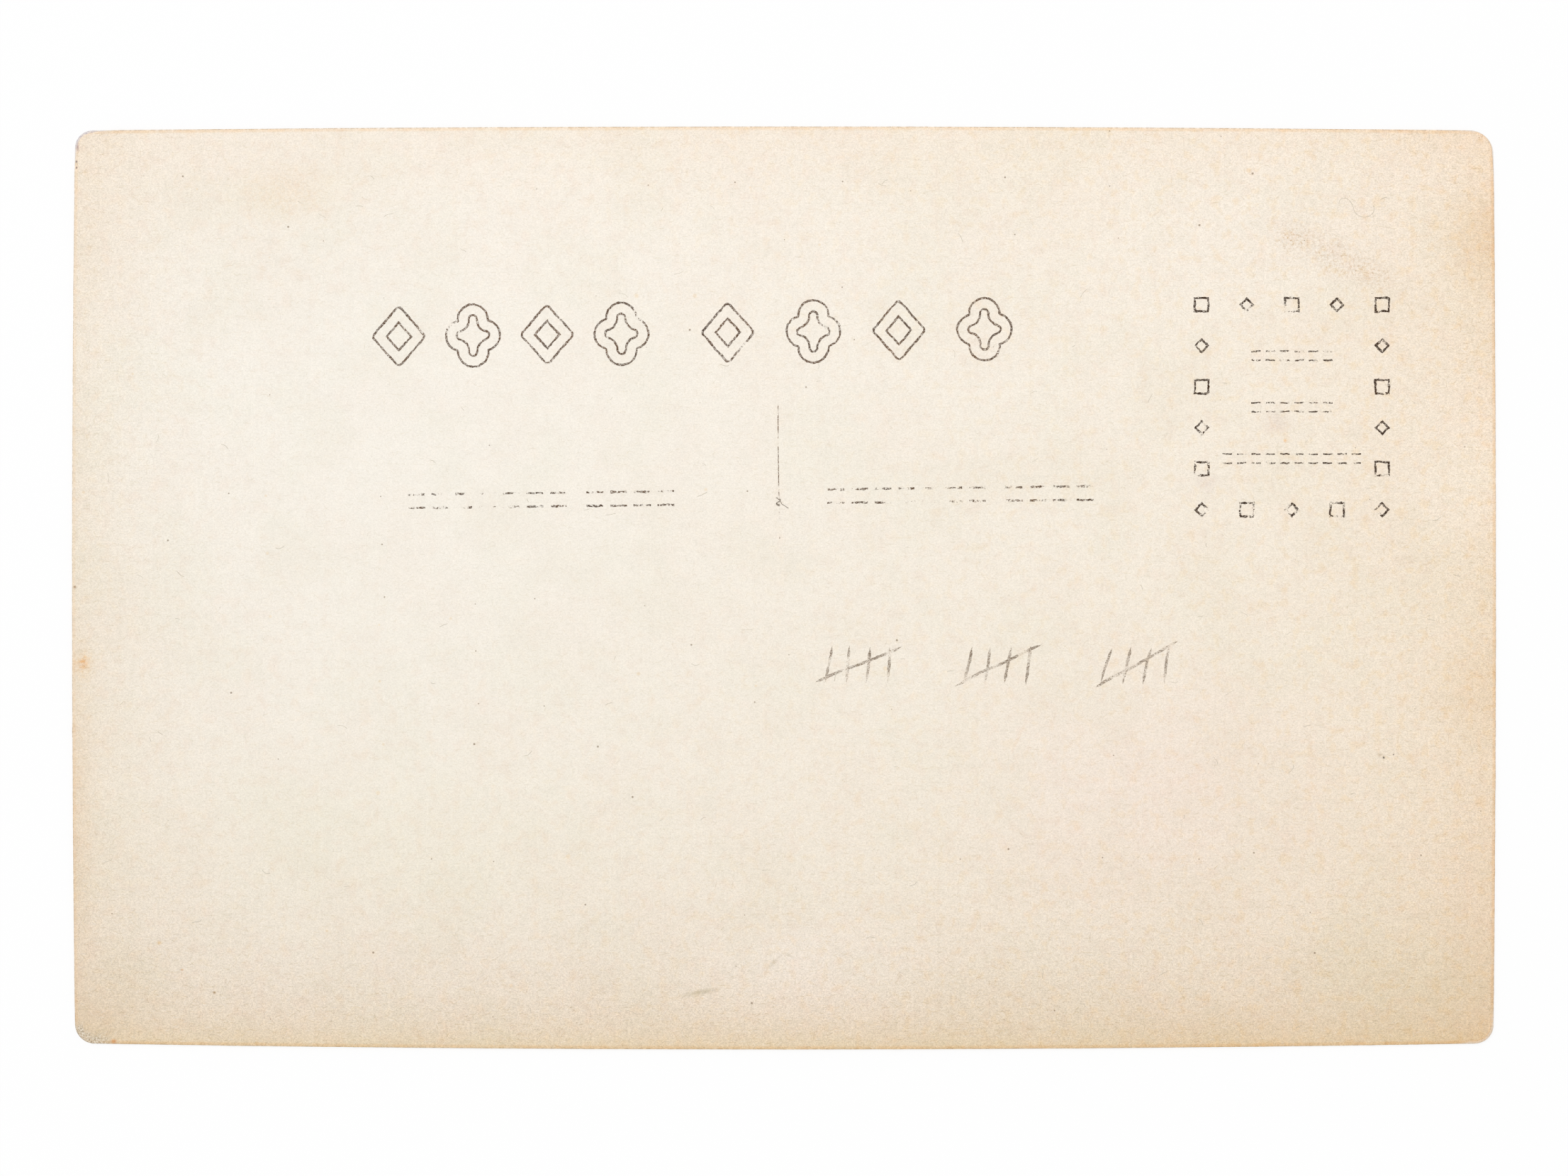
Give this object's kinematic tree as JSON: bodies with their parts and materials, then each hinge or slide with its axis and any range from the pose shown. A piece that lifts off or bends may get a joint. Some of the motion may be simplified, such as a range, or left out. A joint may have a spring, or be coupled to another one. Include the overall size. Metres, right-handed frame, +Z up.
{
  "type": "postcard",
  "caption": "Old photographic postcard lying picture side down: a coated paper card with worn corners, its address side printed with open ornaments, a divider, captions and a stamp frame.",
  "frame": {"origin": "on the resting plane, under the middle of the card", "axes": "+X along the card to the right as its address side is read, +Y towards its top edge, +Z up out of the address side"},
  "size_m": [0.1372, 0.089, 0.0003],
  "materials": {
    "paper": "matt, aged cream fibre paper with toned edges",
    "baryta": "smooth white mineral coat",
    "image": "sepia silver image in gelatin",
    "gelatin": "clear glossy gelatin over the picture",
    "ink": "thin, worn brown-black printing ink",
    "graphite": "soft grey pencil"
  },
  "bodies": {
    "root": {"paper_base": "paper", "baryta_coat": "baryta", "image_coat": "image", "overcoat": "gelatin", "title_ornaments": "ink", "divider_rule": "ink", "message_caption": "ink", "address_caption": "ink", "stamp_frame": "ink", "stamp_lines": "ink", "pencil_tally": "graphite"}
  },
  "joints": []
}
